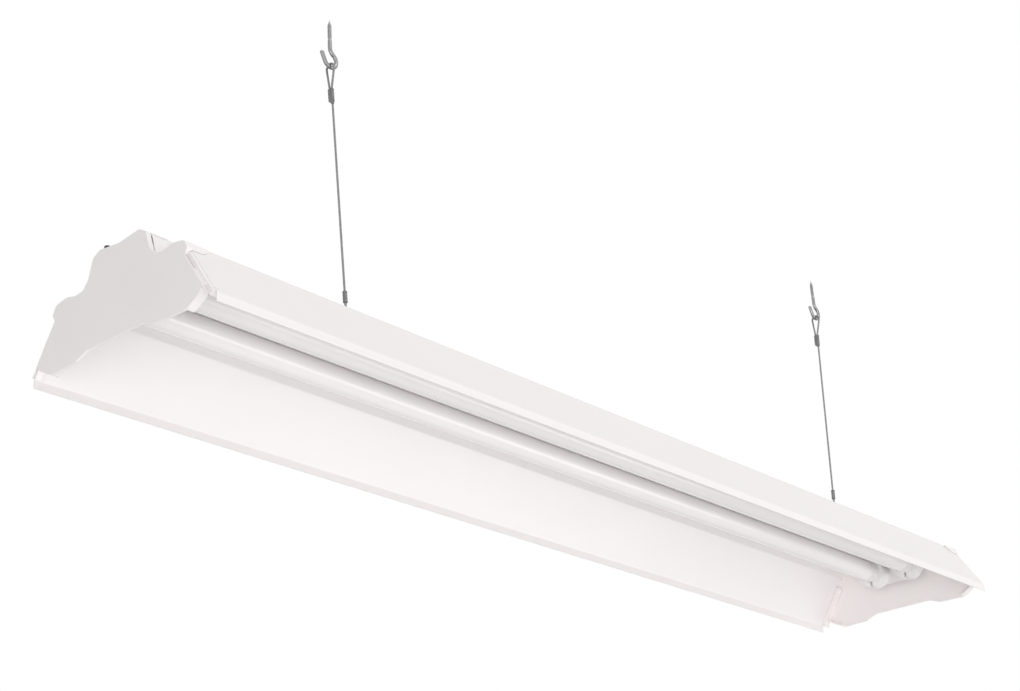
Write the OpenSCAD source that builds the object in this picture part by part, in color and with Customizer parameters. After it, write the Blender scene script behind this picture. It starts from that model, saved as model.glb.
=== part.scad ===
// Two-lamp fluorescent shop light, hung by two wire cables from two ceiling screw hooks.
// X runs along the lamps, Y across them and Z up. Sizes are in millimetres.
// The pieces are laid out on the fixture, whose lower lips lie at z = 0 and whose middle is x = 0.
// placed() then brings them to the part's origin: the ceiling plane, midway between the two hooks.

/* [Lamps] */
// Length of a lamp between the faces of its metal ends
lamp_l = 1199.4; // [590:0.1:1500]
// Outer diameter of the glass
lamp_d = 25.4; // [23:0.1:27]
// Thickness of the glass
glass_t = 0.8; // [0.6:0.1:1.2]
// Distance between the two lamps
lamp_spacing = 50; // [47:0.5:58]
// Height of the lamps' axes above the lower lips
lamp_z = 55; // [48:0.5:60]
// Length of the metal end of a lamp
lamp_cap_l = 11.5; // [8:0.5:16]
// How far the metal end stands proud of the glass
lamp_cap_proud = 0.4; // [0.2:0.1:0.8]
// Diameter of a contact pin
pin_d = 2.35; // [2:0.05:2.6]
// Length of a contact pin
pin_l = 7.1; // [6:0.1:7.6]
// Distance between the two pins of a lamp end
pin_spacing = 12.7; // [12:0.1:13]

/* [Lampholders] */
// Depth of a lampholder along the lamp
holder_depth = 17.4; // [15:0.1:24]
// Radius of the round end of a lampholder
holder_r = 19; // [14.5:0.1:21]
// Gap between a lamp's end face and its lampholder
holder_gap = 0.4; // [0.2:0.1:1]
// Radius of the turning rotor in a lampholder
rotor_r = 9.2; // [8.6:0.1:9.6]
// Thickness of the rotor
rotor_t = 4; // [3:0.5:5]
// Width of the slot that the pins drop through
pin_slot_w = 3.2; // [3:0.1:4]

/* [Housing] */
// Width over the lower lips
housing_w = 237.4; // [220:0.2:280]
// Thickness of the steel sheet
sheet_t = 0.9; // [0.7:0.1:1.2]
// Height of the upright lip along each lower edge
lip_h = 8; // [5:0.5:14]
// Height of the shoulders above the lower lips
shoulder_h = 65.3; // [62:0.1:70]
// Width over the shoulders
shoulder_w = 163; // [150:1:180]
// Width of the raised channel where it leaves the shoulders
channel_foot_w = 87.2; // [84:0.2:96]
// Width of the raised channel at its top
channel_top_w = 73.2; // [68:0.2:78]
// Outer radius of the bends along the channel's top
channel_bend_r = 7; // [3:0.5:8]
// Outer radius of the other bends
sheet_bend_r = 3; // [2:0.5:4]

/* [Wireway] */
// Thickness of the cover plate under the wireway
cover_t = 0.8; // [0.6:0.1:1.2]
// Gap between the lamps and the cover plate
cover_gap = 2.3; // [2:0.1:6]
// Width of the cover plate
cover_w = 77; // [70:0.5:77.5]
// Height of the cover plate's upright edges
cover_edge_h = 5; // [3:0.5:7]
// Gap between each end of the cover plate and the lampholders
cover_end_gap = 2; // [1:0.5:10]
// Distance from each inner hanging slot in to the strap that carries the cover
strap_gap = 52; // [45:1:70]
// Width of a strap across the fixture
strap_w = 30; // [20:1:34]
// Length of a strap's feet
strap_foot = 16; // [12:1:24]
// Length of the ballast
ballast_l = 240; // [160:5:300]
// Width of the ballast
ballast_w = 42; // [30:1:46]
// Height of the ballast
ballast_h = 18.5; // [18:0.5:24]
// Gap between the ballast and the cover plate
ballast_gap = 1.8; // [1:0.1:5]
// Place of the ballast's middle along the fixture
ballast_x = 80; // [40:5:90]
// Length of each mounting ear of the ballast
ballast_ear = 14; // [12:1:20]
// Thickness of the lampholder bracket's steel
bracket_t = 1; // [0.8:0.1:1.5]
// Distance from a bracket to the end of the housing
bracket_inset = 6; // [5:0.5:10]
// Width of a bracket
bracket_w = 62; // [56:1:64]
// Length of a bracket's top flange
bracket_flange = 34; // [30:1:45]
// Radius of a lead's insulation
lead_r = 1; // [0.8:0.1:1.2]
// Distance from the left end of the housing to the wire connectors
connector_inset = 62; // [50:1:80]
// Distance from the left end of the housing to the ground screw
ground_inset = 95; // [90:1:120]
// Length of a wire connector
connector_l = 22; // [18:1:28]
// Radius of a wire connector's open end
connector_r = 4.5; // [4:0.1:6]
// Sideways place of each wire connector
connector_y = 8; // [6:0.5:12]
// Sideways place of the supply leads along the channel
supply_y = 20; // [16:0.5:24]
// Sideways place of each supply lead where it leaves the ballast
supply_start_y = 5; // [3:0.5:8]
// Length over which a supply lead turns in to its connector
supply_run = 17; // [12:1:30]
// Straight length of a supply lead at its connector
supply_tail = 8; // [5:1:12]

/* [Screws] */
// Radius of a sheet screw's shank
screw_r = 1.9; // [1.5:0.1:2.2]
// Radius of a sheet screw's head
screw_head_r = 4; // [3.5:0.1:4.5]
// Height of a sheet screw's head
screw_head_h = 2.2; // [1.8:0.1:3]
// Length of a sheet screw's shank
screw_l = 7; // [5:0.5:9]
// Gap round a screw or pin in its hole
hole_gap = 0.1; // [0.05:0.05:0.3]

/* [End caps] */
// Thickness of a cap's face
cap_face_t = 2.4; // [1.8:0.1:3]
// Distance from the end of the housing to the back of a cap's face
cap_stand = 3.1; // [2.5:0.1:5]
// How far a cap's face stands inside the wings' outer faces
cap_inset = 6.2; // [5:0.1:8]
// Thickness of a cap's rim
cap_wall = 1.4; // [1.2:0.1:2.4]
// Gap between a cap and the housing
cap_gap = 0.3; // [0.2:0.1:0.6]
// How far a cap's upper rim reaches back from its face
cap_saddle = 22; // [14:1:28]
// How far a cap's lower rim reaches back from its face
cap_skirt = 6.6; // [4:0.1:8]
// Length of the slit that frees a tongue at each end of a wing
slit_l = 4.4; // [3:0.1:8]
// Width of the slit
slit_w = 1.1; // [0.8:0.1:1.5]
// Width of the openings behind a cap's edge, along each wing
cap_slot_w = 2; // [1.5:0.1:2.4]
// Thickness of a cap's edge in front of those openings
cap_slot_skin = 0.8; // [0.6:0.1:1]
// Depth of the slit in a cap's flank
slit_depth = 1.2; // [0.8:0.1:2]

/* [Cord inlet] */
// Radius of the inlet bushing's bore
inlet_r = 2.3; // [1.8:0.1:2.4]
// Radius of the bushing's barrel
bushing_r = 3.4; // [3.2:0.1:3.6]
// Radius of the bushing's tapered tip
bushing_tip_r = 2.9; // [2.7:0.1:3.1]
// How far the bushing stands above the cap's crest
bushing_rise = 5.8; // [3:0.1:8]
// Length and width of the bushing's square base
bushing_base = 10; // [8:0.5:11]
// Thickness of the bushing's base
bushing_base_t = 2; // [1.5:0.1:3]
// Sideways place of the bushing
inlet_y = 26; // [24:0.5:27]
// Distance from the end of the housing to the bushing's axis
inlet_inset = 2.7; // [2.5:0.1:4]

/* [Hanging] */
// Distance from each end of the housing to its outer hanging slots
outer_slot = 135.5; // [120:0.5:200]
// Distance from the outer hanging slots in to the inner ones
slot_step = 126; // [100:1:140]
// How much further out than its slot each ceiling hook is
hook_spread = 15.5; // [0:0.5:30]
// Width of the web that a lower hook carries
web_w = 8.4; // [7.5:0.1:9]
// Length of a hanging slot
slot_l = 9; // [7:0.5:12]
// Width of a hanging slot
slot_w = 4.8; // [4.6:0.1:6]
// Radius of the lower hook's wire
low_wire_r = 1.4; // [1.1:0.1:1.5]
// Bend radius of the lower hook, to the middle of its wire
low_bend_r = 6.5; // [6.4:0.1:7]
// Length of the lower ferrule
low_ferrule_l = 12; // [8:0.5:18]
// Height of the lower ferrule above the tilt axis
low_ferrule_z = 29; // [26:0.5:34]
// Length of the cable between its two ferrules
cable_free = 201; // [120:1:600]
// Radius of the cable
cable_r = 1.2; // [0.9:0.1:1.3]
// Length of the upper ferrule
top_ferrule_l = 17; // [12:0.5:22]
// Wall of the ferrules round the cable
ferrule_wall = 1; // [0.7:0.1:1.3]
// Radius of the cable's loop, to the middle of the cable
loop_r = 5.2; // [5:0.1:6]
// Height of the loop's bend above the upper ferrule
loop_h = 22.7; // [18:0.5:30]
// Radius of the ceiling hook's wire
hook_wire_r = 2.2; // [1.8:0.1:2.4]
// Bend radius of the ceiling hook, to the middle of its wire
hook_bend_r = 8.2; // [8:0.1:10]
// Straight length of the ceiling hook's open end
hook_tip_l = 9; // [5:0.5:12]
// Straight shank of the ceiling hook below the ceiling
hook_shank_l = 8; // [5:0.5:20]
// Length of the ceiling hook's screw thread
thread_l = 25; // [18:0.5:40]
// Length of the pointed end of the thread
thread_point_l = 7; // [4:0.5:8]

/* [Hidden] */
$fn = 48;
// A hairline that keeps cuts clear of the faces they pass through
eps = 0.5;
// Gap between curved faces of pieces that move on each other
run_gap = 0.3;
// Straight pieces that stand for one rounded corner
corner_steps = 5;

white_paint = [0.95, 0.95, 0.94];
grey_plastic = [0.86, 0.85, 0.84];
zinc = [0.62, 0.63, 0.64];

// Lengths that follow from the lamps
holder_x = lamp_l / 2 + holder_gap;
bracket_x = holder_x + holder_depth;
end_x = bracket_x + bracket_inset;
lamp_y = lamp_spacing / 2;

// Heights that follow from the lamps and the ballast
cover_z = lamp_z + lamp_d / 2 + cover_gap;
channel_h = cover_z + cover_t + ballast_gap + ballast_h + sheet_t;
roof_z = channel_h - sheet_t;

// The two hangers: the tilt axis lies at the middle of the lower hooks' bends
web_corner_r = low_bend_r - low_wire_r - run_gap;
web_drop = sqrt(web_corner_r * web_corner_r - web_w * web_w / 4);
tilt_z = roof_z + web_drop;
// Height of the loop's bearing on the ceiling hook above the middle of the loop's bend
bearing_h = loop_r - cable_r - run_gap - hook_wire_r;
top_ferrule_z = low_ferrule_z + low_ferrule_l + cable_free;
loop_z = top_ferrule_z + top_ferrule_l + loop_h;
hang_l = loop_z + bearing_h;
lean = asin(hook_spread / hang_l);
swing_z = tilt_z + hang_l * cos(lean);
// A hook's bend turns back over this angle before its shank
neck_angle = 60;
hook_neck_h = hook_bend_r * (1 + 2 * sin(neck_angle));
ceiling_z = swing_z + hook_neck_h + hook_shank_l;
// The light hangs in its left inner slots and its right outer ones, so the hangers' middle is off the fixture's
inner_slot_x = end_x - outer_slot - slot_step;
outer_slot_x = end_x - outer_slot;
slot_span = inner_slot_x + outer_slot_x;
slot_shift = (outer_slot_x - inner_slot_x) / 2;
slot_places = [-outer_slot_x, -inner_slot_x, inner_slot_x, outer_slot_x];
strap_x = inner_slot_x - strap_gap;

// ---- outlines ------------------------------------------------------------

function unit(v) = v / norm(v);
function flat(p) = [p[0], p[1]];

// The points that round one corner b, given as [y, z, radius], between its neighbours a and c
function rounded_corner(a, b, c) =
    let (u = unit(flat(a) - flat(b)),
         v = unit(flat(c) - flat(b)),
         half = acos(u * v) / 2,
         middle = flat(b) + unit(u + v) * b[2] / sin(half),
         from = flat(b) + u * b[2] / tan(half) - middle,
         to = flat(b) + v * b[2] / tan(half) - middle,
         start = atan2(from[1], from[0]),
         turn = atan2(to[1], to[0]) - start,
         sweep = turn > 180 ? turn - 360 : turn < -180 ? turn + 360 : turn)
    [for (i = [0 : corner_steps])
        middle + b[2] * [cos(start + sweep * i / corner_steps), sin(start + sweep * i / corner_steps)]];

// An open line with rounded corners
function rounded_line(p) =
    concat([flat(p[0])],
           [for (i = [1 : len(p) - 2]) each rounded_corner(p[i - 1], p[i], p[i + 1])],
           [flat(p[len(p) - 1])]);

// A closed outline with rounded corners
function rounded_loop(p) =
    [for (i = [0 : len(p) - 1])
        each rounded_corner(p[(i + len(p) - 1) % len(p)], p[i], p[(i + 1) % len(p)])];

// The point where the corner b lands when the line through a, b and c is shifted to its left
function shifted_point(a, b, c, d) =
    let (n1 = [-(unit(b - a))[1], (unit(b - a))[0]],
         n2 = [-(unit(c - b))[1], (unit(c - b))[0]],
         n = unit(n1 + n2))
    b + n * d / (n * n1);
function shifted_line(p, d) =
    [for (i = [0 : len(p) - 1])
        let (a = i == 0 ? 2 * p[0] - p[1] : p[i - 1],
             c = i == len(p) - 1 ? 2 * p[i] - p[i - 1] : p[i + 1])
        shifted_point(a, p[i], c, d)];
function shifted_loop(p, d) =
    [for (i = [0 : len(p) - 1])
        shifted_point(p[(i + len(p) - 1) % len(p)], p[i], p[(i + 1) % len(p)], d)];

function reversed(p) = [for (i = [len(p) - 1 : -1 : 0]) p[i]];
function mirrored(p) = [for (i = [len(p) - 1 : -1 : 0]) [for (k = [0 : len(p[i]) - 1]) k == 0 ? -p[i][0] : p[i][k]]];

// Outer face of the formed sheet, from the middle of the channel out to the lip, on the +Y side
sheet_half = [[channel_top_w / 2, channel_h, channel_bend_r],
              [channel_foot_w / 2, shoulder_h, sheet_bend_r],
              [shoulder_w / 2, shoulder_h, sheet_bend_r],
              [housing_w / 2, lip_h, sheet_bend_r],
              [housing_w / 2, 0, 0]];
sheet_outer = rounded_line(concat(mirrored(sheet_half), sheet_half));
sheet_inner = shifted_line(sheet_outer, -sheet_t);

// Sideways place of the outer face of a wing at height z, and the wing's slope
function wing_y(z) = shoulder_w / 2 + (housing_w - shoulder_w) / 2 * (shoulder_h - z) / (shoulder_h - lip_h);
wing_angle = atan2(shoulder_h - lip_h, (housing_w - shoulder_w) / 2);

// Sideways place of a cap's side edge at height z, parallel to the wing
function cap_side_y(z) = wing_y(z) - cap_inset;

// Wavy outline of an end cap, from the middle of its top round to the middle of its lower arch.
// It stands over the channel and the shoulders, lies inside the wings and ends in two lobes.
crest_y = channel_top_w / 2 - 10.6;
crest_rise = 4.6;
valley_rise = 1.5;
lobe_z = 1.4;
arch_h = 8;
cap_half = [[crest_y, channel_h + crest_rise, 9],
            [channel_top_w / 2 - 1.8, channel_h - 0.4, 6],
            [channel_foot_w / 2 - 3, shoulder_h + 7.6, 10],
            [channel_foot_w / 2 + 3.8, shoulder_h + 0.2, 5],
            [channel_foot_w / 2 + 13.9, shoulder_h - 0.9, 8],
            [shoulder_w / 2 - 11.5, shoulder_h + 2, 14],
            [shoulder_w / 2 + 2.6, shoulder_h - 0.7, 4.5],
            [shoulder_w / 2 + 7, shoulder_h - 9.4, 3],
            [cap_side_y(shoulder_h - 14.7), shoulder_h - 14.7, 3],
            [cap_side_y(lip_h + 13), lip_h + 13, 8],
            [housing_w / 2 - 12, lip_h + 7, 5],
            [housing_w / 2 - 16.5, lip_h + 1, 9],
            [housing_w / 2 - 30.7, lobe_z, 14],
            [housing_w / 2 - 64.7, lobe_z + 0.8, 14],
            [housing_w / 2 - 80.7, arch_h, 16]];
cap_outline = rounded_loop(concat([[0, channel_h + valley_rise, 30]], cap_half, mirrored(cap_half)));

// ---- shared shapes -------------------------------------------------------

// From the fixture's own layout to the part's origin at the ceiling
module placed() {
    translate([-slot_shift, 0, -ceiling_z]) children();
}

// Extrudes an outline of [y, z] points along X
module along_x(x0, x1) {
    translate([x0, 0, 0]) rotate([90, 0, 90]) linear_extrude(height = x1 - x0) children();
}

// The outline of the formed sheet's outer or inner face, closed below the lips
module sheet_area(line) {
    polygon(concat(line, [[housing_w, -housing_w / 2], [-housing_w, -housing_w / 2]]));
}

// A cylinder along X
module rod_x(x0, x1, r, y = 0, z = 0) {
    translate([x0, y, z]) rotate([0, 90, 0]) cylinder(h = x1 - x0, r = r);
}

// The place of the left end (side = -1) or of the right end (side = 1), drawn as if it were the right one
module at_end(side) {
    if (side > 0) children();
    else mirror([1, 0, 0]) children();
}

// A pan-head screw whose head's seat is at the origin, with its shank downwards
module pan_screw() {
    rotate_extrude() polygon([[0, -screw_l], [screw_r, -screw_l], [screw_r, 0], [screw_head_r, 0],
                              [screw_head_r, screw_head_h * 0.4], [screw_head_r * 0.7, screw_head_h],
                              [0, screw_head_h]]);
}

// The hole for such a screw through anything near the origin
module screw_hole(depth) {
    translate([0, 0, -depth]) cylinder(h = 2 * depth, r = screw_r + hole_gap);
}

// A hair of extra material where two runs of a wire meet
module wire_joint(r) {
    sphere(r = r + 0.03);
}

// A bent hook in the XZ plane. Its bend's middle is the origin; it opens towards -X.
// The shank stands over the origin and ends at height shank_z.
module bent_hook(bend_r, wire_r, tip_angle, tip_l, shank_z) {
    neck_z = 2 * bend_r * sin(neck_angle);
    tip_turn = 360 + neck_angle - tip_angle;
    rotate([90, 0, 0]) rotate([0, 0, tip_angle]) rotate_extrude(angle = tip_turn)
        translate([bend_r, 0]) circle(r = wire_r);
    translate([bend_r, 0, neck_z]) rotate([90, 0, 0]) rotate([0, 0, 180])
        rotate_extrude(angle = neck_angle) translate([bend_r, 0]) circle(r = wire_r);
    translate([0, 0, neck_z]) cylinder(h = shank_z - neck_z, r = wire_r);
    translate([bend_r / 2, 0, neck_z / 2]) wire_joint(wire_r);
    translate([0, 0, neck_z]) wire_joint(wire_r);
    translate([bend_r * cos(tip_angle), 0, bend_r * sin(tip_angle)]) rotate([0, 180 - tip_angle, 0]) {
        wire_joint(wire_r);
        cylinder(h = tip_l, r = wire_r);
        translate([0, 0, tip_l]) cylinder(h = wire_r / 2, r1 = wire_r, r2 = wire_r / 2);
    }
}

// The left hanger (side = -1) or the right one (side = 1), drawn upright on its lower bend, leans outwards
function hang_x(side) = slot_shift + side * slot_span / 2;
module hanger(side) {
    placed() translate([hang_x(side), 0, tilt_z]) rotate([0, side * lean, 0]) children();
}
module ceiling_hook_place(side) {
    placed() translate([hang_x(side) + side * hook_spread, 0, swing_z]) children();
}

// A lead with round insulation along its own points
module lead(points, r = lead_r) {
    sides = 8;
    last = len(points) - 1;
    ring = [for (i = [0 : last])
        let (a = points[max(i - 1, 0)],
             c = points[min(i + 1, last)],
             t = unit(c - a),
             helper = abs(t[1]) > 0.9 ? [0, 0, 1] : [0, 1, 0],
             u = unit(cross(t, helper)),
             v = cross(u, t))
        each [for (k = [0 : sides - 1]) points[i] + r * (cos(360 * k / sides) * u + sin(360 * k / sides) * v)]];
    walls = [for (i = [0 : last - 1], k = [0 : sides - 1])
        let (n = (k + 1) % sides)
        each [[i * sides + k, i * sides + n, (i + 1) * sides + n],
              [i * sides + k, (i + 1) * sides + n, (i + 1) * sides + k]]];
    start_face = [for (k = [sides - 1 : -1 : 0]) k];
    end_face = [for (k = [0 : sides - 1]) last * sides + k];
    polyhedron(ring, concat([start_face], walls, [end_face]));
}

// ---- housing -------------------------------------------------------------

// One wing's face plane: the origin on its outer face at height z, with Z outwards
module on_wing(side, z) {
    translate([0, side * wing_y(z), z]) rotate([-side * wing_angle, 0, 0]) children();
}

// Height of the slit above a wing's tongue
slit_z = lip_h + 4.4;

module wing_slits() {
    for (s = [-1, 1]) translate([end_x - slit_l, 0, 0]) on_wing(s, slit_z)
        translate([0, -slit_w / 2, -4]) cube([slit_l + eps, slit_w, 8]);
}

module hanging_slots() {
    for (x = slot_places, s = [-1, 1])
        translate([x - slot_l / 2, s > 0 ? web_w / 2 : -web_w / 2 - slot_w, roof_z - eps])
            cube([slot_l, slot_w, sheet_t + 2 * eps]);
}

bracket_screw_x = bracket_x - bracket_flange + 9;
ballast_screw_x = [for (s = [-1, 1]) ballast_x + s * (ballast_l + ballast_ear) / 2];
ground_x = -end_x + ground_inset;
inlet_x = -end_x + inlet_inset;

module reflector_housing() {
    color(white_paint) placed() difference() {
        along_x(-end_x, end_x) polygon(concat(sheet_outer, reversed(sheet_inner)));
        hanging_slots();
        for (side = [-1, 1]) at_end(side) {
            translate([bracket_screw_x, 0, roof_z]) screw_hole(5);
            wing_slits();
        }
        for (x = ballast_screw_x) translate([x, 0, roof_z]) screw_hole(5);
        translate([ground_x, 0, roof_z]) screw_hole(5);
        inlet_hole();
        translate([-end_x - eps, inlet_y - bushing_r - hole_gap, roof_z - eps])
            cube([inlet_inset + eps, 2 * (bushing_r + hole_gap), sheet_t + 2 * eps]);
    }
}

// The upright hole that the inlet bushing's barrel fills
module inlet_hole() {
    translate([inlet_x, inlet_y, roof_z - bushing_base_t])
        cylinder(h = bushing_base_t + sheet_t + crest_rise + bushing_rise, r = bushing_r + hole_gap);
}

// ---- end caps ------------------------------------------------------------

face_x = end_x + cap_stand;
cap_x = face_x + cap_face_t;
// The upper rim's lower edge along the wings
saddle_low = shoulder_h - 10.3;

// The flanks lie between two heights; the upper openings reach down to the third, the lower ones up to the last
flank_high = shoulder_h - 11.3;
flank_low = lip_h + 1;
upper_open_z = flank_high - 16.5;
lower_open_z = flank_low + 10.4;
// The lower rim is left out between the lobes, inside this place across and below this height
rim_y = housing_w / 2 - 32;
rim_z = lip_h + 12;

// The back end of a cap's upper rim
saddle_x = face_x - cap_saddle;

// A block under the outer face of one wing: between two heights, down to one depth and up to another
module flank_block(side, x0, x1, low, high, deep, shallow) {
    length = (high - low) / sin(wing_angle);
    on_wing(side, high) translate([x0, side > 0 ? 0 : -length, -deep])
        cube([x1 - x0, length, deep - shallow]);
}

// The flank that slopes from a cap's side edge out to the wing's end
module cap_flank(side) {
    length = (flank_high - flank_low) / sin(wing_angle);
    depth = cap_inset * sin(wing_angle);
    x0 = end_x + cap_gap;
    on_wing(side, flank_high) translate([0, side > 0 ? length : 0, 0]) rotate([90, 0, 0])
        linear_extrude(height = length)
            polygon([[cap_x, -depth], [x0, 0], [x0, -depth - cap_wall / 2], [cap_x, -depth - cap_wall / 2]]);
}

// Lower rim, inside the wings and round their lower corners
module cap_lower_rim() {
    intersection() {
        difference() {
            along_x(face_x - cap_skirt, face_x) polygon(cap_outline);
            along_x(face_x - cap_skirt - eps, face_x + eps) polygon(shifted_loop(cap_outline, -cap_wall));
            translate([face_x - cap_skirt - eps, -rim_y, rim_z - housing_w])
                cube([cap_skirt + 2 * eps, 2 * rim_y, housing_w]);
        }
        along_x(face_x - cap_skirt - eps, face_x + eps) sheet_area(shifted_line(sheet_inner, -cap_gap));
        translate([face_x - cap_skirt - eps, -housing_w, saddle_low - housing_w])
            cube([cap_skirt + 2 * eps, 2 * housing_w, housing_w]);
    }
}

// Upper rim, over the channel and the shoulders, with its lower corners cut back
module cap_saddle_rim() {
    difference() {
        along_x(saddle_x, face_x) polygon(cap_outline);
        along_x(saddle_x - eps, face_x + eps) sheet_area(shifted_line(sheet_outer, cap_gap));
        translate([0, housing_w, 0]) rotate([90, 0, 0]) linear_extrude(height = 2 * housing_w)
            polygon([[saddle_x - eps, -housing_w], [saddle_x - eps, saddle_low + 7],
                     [saddle_x + 1, saddle_low + 5.5], [saddle_x + 5, saddle_low + 2],
                     [saddle_x + 10, saddle_low], [face_x + eps, saddle_low], [face_x + eps, -housing_w]]);
    }
}

// Collar between the end of the channel and the back of the face
module cap_collar() {
    difference() {
        along_x(end_x + cap_gap, face_x) polygon(cap_outline);
        along_x(end_x + cap_gap - eps, face_x + eps) polygon(shifted_loop(cap_outline, -cap_wall));
        translate([end_x, -housing_w, saddle_low - housing_w]) cube([2 * cap_stand, 2 * housing_w, housing_w]);
    }
}

module end_cap() {
    difference() {
        union() {
            along_x(face_x, cap_x) polygon(cap_outline);
            cap_lower_rim();
            cap_collar();
            for (s = [-1, 1]) {
                cap_flank(s);
                // the bar that holds the cap inside the wing
                flank_block(s, face_x - cap_skirt, face_x, flank_low, flank_high,
                            cap_inset * sin(wing_angle) + cap_wall / 2, sheet_t + cap_gap);
            }
        }
        // openings behind the side edge, and the slit that goes on into the wing
        for (s = [-1, 1]) {
            x1 = cap_x - cap_slot_skin;
            deep = cap_inset * sin(wing_angle) + cap_wall + eps;
            flank_block(s, x1 - cap_slot_w, x1, upper_open_z, flank_high + eps, deep, -eps);
            flank_block(s, x1 - cap_slot_w, x1, flank_low - eps, lower_open_z, deep, -eps);
            flank_block(s, end_x, x1, slit_z - slit_w / 2, slit_z + slit_w / 2, slit_depth, -eps);
        }
    }
    cap_saddle_rim();
}

module left_end_cap() {
    color(grey_plastic) placed() difference() {
        at_end(-1) end_cap();
        inlet_hole();
    }
}
module right_end_cap() {
    color(grey_plastic) placed() end_cap();
}

// ---- lampholders and their brackets --------------------------------------

holder_top = cover_z + 0.6;
holder_body_w = 24;
bracket_low = lamp_z - holder_r + 3;

module socket_bracket() {
    difference() {
        union() {
            translate([bracket_x, -bracket_w / 2, bracket_low])
                cube([bracket_t, bracket_w, roof_z - bushing_base_t - 3 - bracket_low]);
            translate([bracket_x, -bracket_w / 4, bracket_low])
                cube([bracket_t, bracket_w / 2, roof_z - bracket_low]);
            translate([bracket_x + bracket_t - bracket_flange, -bracket_w / 4, roof_z - bracket_t])
                cube([bracket_flange, bracket_w / 2, bracket_t]);
        }
        translate([bracket_screw_x, 0, roof_z]) screw_hole(5);
    }
}
module left_socket_bracket() {
    color(white_paint) placed() at_end(-1) socket_bracket();
}
module right_socket_bracket() {
    color(white_paint) placed() socket_bracket();
}
module bracket_screws() {
    color(zinc) placed() for (s = [-1, 1]) translate([s * bracket_screw_x, 0, channel_h]) pan_screw();
}

// Depth of the recess that holds the rotor and takes the pins
recess_depth = pin_l + 1;

module lampholder(y) {
    difference() {
        union() {
            rod_x(holder_x, bracket_x, holder_r, y, lamp_z);
            translate([holder_x, y - holder_body_w / 2, lamp_z])
                cube([holder_depth, holder_body_w, holder_top - lamp_z]);
        }
        rod_x(holder_x - eps, holder_x + recess_depth, rotor_r + hole_gap, y, lamp_z);
        translate([holder_x - eps, y - pin_slot_w / 2, lamp_z - holder_r - eps])
            cube([recess_depth + eps, pin_slot_w, holder_r + eps]);
        // the top is flat, where the leads go in
        translate([holder_x - eps, y - holder_r - eps, holder_top])
            cube([holder_depth + 2 * eps, 2 * (holder_r + eps), holder_r + eps]);
    }
}
module holder_at(side, y) {
    color("white") placed() at_end(side) lampholder(y);
}
module front_left_lampholder() { holder_at(-1, -lamp_y); }
module front_right_lampholder() { holder_at(1, -lamp_y); }
module rear_left_lampholder() { holder_at(-1, lamp_y); }
module rear_right_lampholder() { holder_at(1, lamp_y); }

// Spring contacts at the back of each recess, one behind each pin
contact_t = 0.5;
module lampholder_contacts() {
    color("gold") placed() for (side = [-1, 1], y = [-lamp_y, lamp_y], s = [-1, 1]) at_end(side)
        translate([holder_x + recess_depth - contact_t, y + s * pin_spacing / 2 - 1.5, lamp_z - 3])
            cube([contact_t, 3, 6]);
}

// ---- lamps ---------------------------------------------------------------

cap_r = lamp_d / 2 + lamp_cap_proud;

module lamp_tube(y) {
    color("white") placed() difference() {
        rod_x(-lamp_l / 2 + 1, lamp_l / 2 - 1, lamp_d / 2, y, lamp_z);
        rod_x(-lamp_l / 2 + 3, lamp_l / 2 - 3, lamp_d / 2 - glass_t, y, lamp_z);
    }
}
module lamp_ends(y) {
    color("silver") placed() for (side = [-1, 1]) at_end(side) difference() {
        rod_x(lamp_l / 2 - lamp_cap_l, lamp_l / 2, cap_r, y, lamp_z);
        rod_x(lamp_l / 2 - lamp_cap_l - eps, lamp_l / 2 - 1, lamp_d / 2 + 0.05, y, lamp_z);
        for (s = [-1, 1])
            rod_x(lamp_l / 2 - 2, lamp_l / 2 + eps, pin_d / 2 + 0.02, y + s * pin_spacing / 2, lamp_z);
    }
}
module lamp_pins(y) {
    color("gold") placed() for (side = [-1, 1], s = [-1, 1]) at_end(side)
        rod_x(lamp_l / 2 - 1, lamp_l / 2 + pin_l, pin_d / 2, y + s * pin_spacing / 2, lamp_z);
}
// The rotors turn with the lamp: the pins stand in each rotor's slot, which opens downwards after a quarter turn
module lamp_rotors(y) {
    color("white") placed() for (side = [-1, 1]) at_end(side) difference() {
        rod_x(holder_x + 0.6, holder_x + 0.6 + rotor_t, rotor_r, y, lamp_z);
        rod_x(holder_x, holder_x + rotor_t + 1, pin_d / 2 + hole_gap, y + pin_spacing / 2, lamp_z);
        translate([holder_x, y - rotor_r - eps, lamp_z - pin_d / 2 - hole_gap])
            cube([rotor_t + 1, rotor_r + eps + pin_spacing / 2, pin_d + 2 * hole_gap]);
    }
}
module front_lamp_tube() { lamp_tube(-lamp_y); }
module rear_lamp_tube() { lamp_tube(lamp_y); }
module front_lamp_ends() { lamp_ends(-lamp_y); }
module rear_lamp_ends() { lamp_ends(lamp_y); }
module front_lamp_pins() { lamp_pins(-lamp_y); }
module rear_lamp_pins() { lamp_pins(lamp_y); }
module front_lamp_rotors() { lamp_rotors(-lamp_y); }
module rear_lamp_rotors() { lamp_rotors(lamp_y); }

// ---- wireway -------------------------------------------------------------

cover_l = 2 * (holder_x - cover_end_gap);
ear_t = 0.8;

module ballast() {
    color("gainsboro") placed() difference() {
        union() {
            translate([ballast_x - ballast_l / 2, -ballast_w / 2, roof_z - ballast_h])
                cube([ballast_l, ballast_w, ballast_h]);
            translate([ballast_x - ballast_l / 2 - ballast_ear, -ballast_w / 4, roof_z - ear_t])
                cube([ballast_l + 2 * ballast_ear, ballast_w / 2, ear_t]);
        }
        for (x = ballast_screw_x) translate([x, 0, roof_z]) screw_hole(5);
    }
}
module ballast_screws() {
    color(zinc) placed() for (x = ballast_screw_x) translate([x, 0, channel_h]) pan_screw();
}

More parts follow.
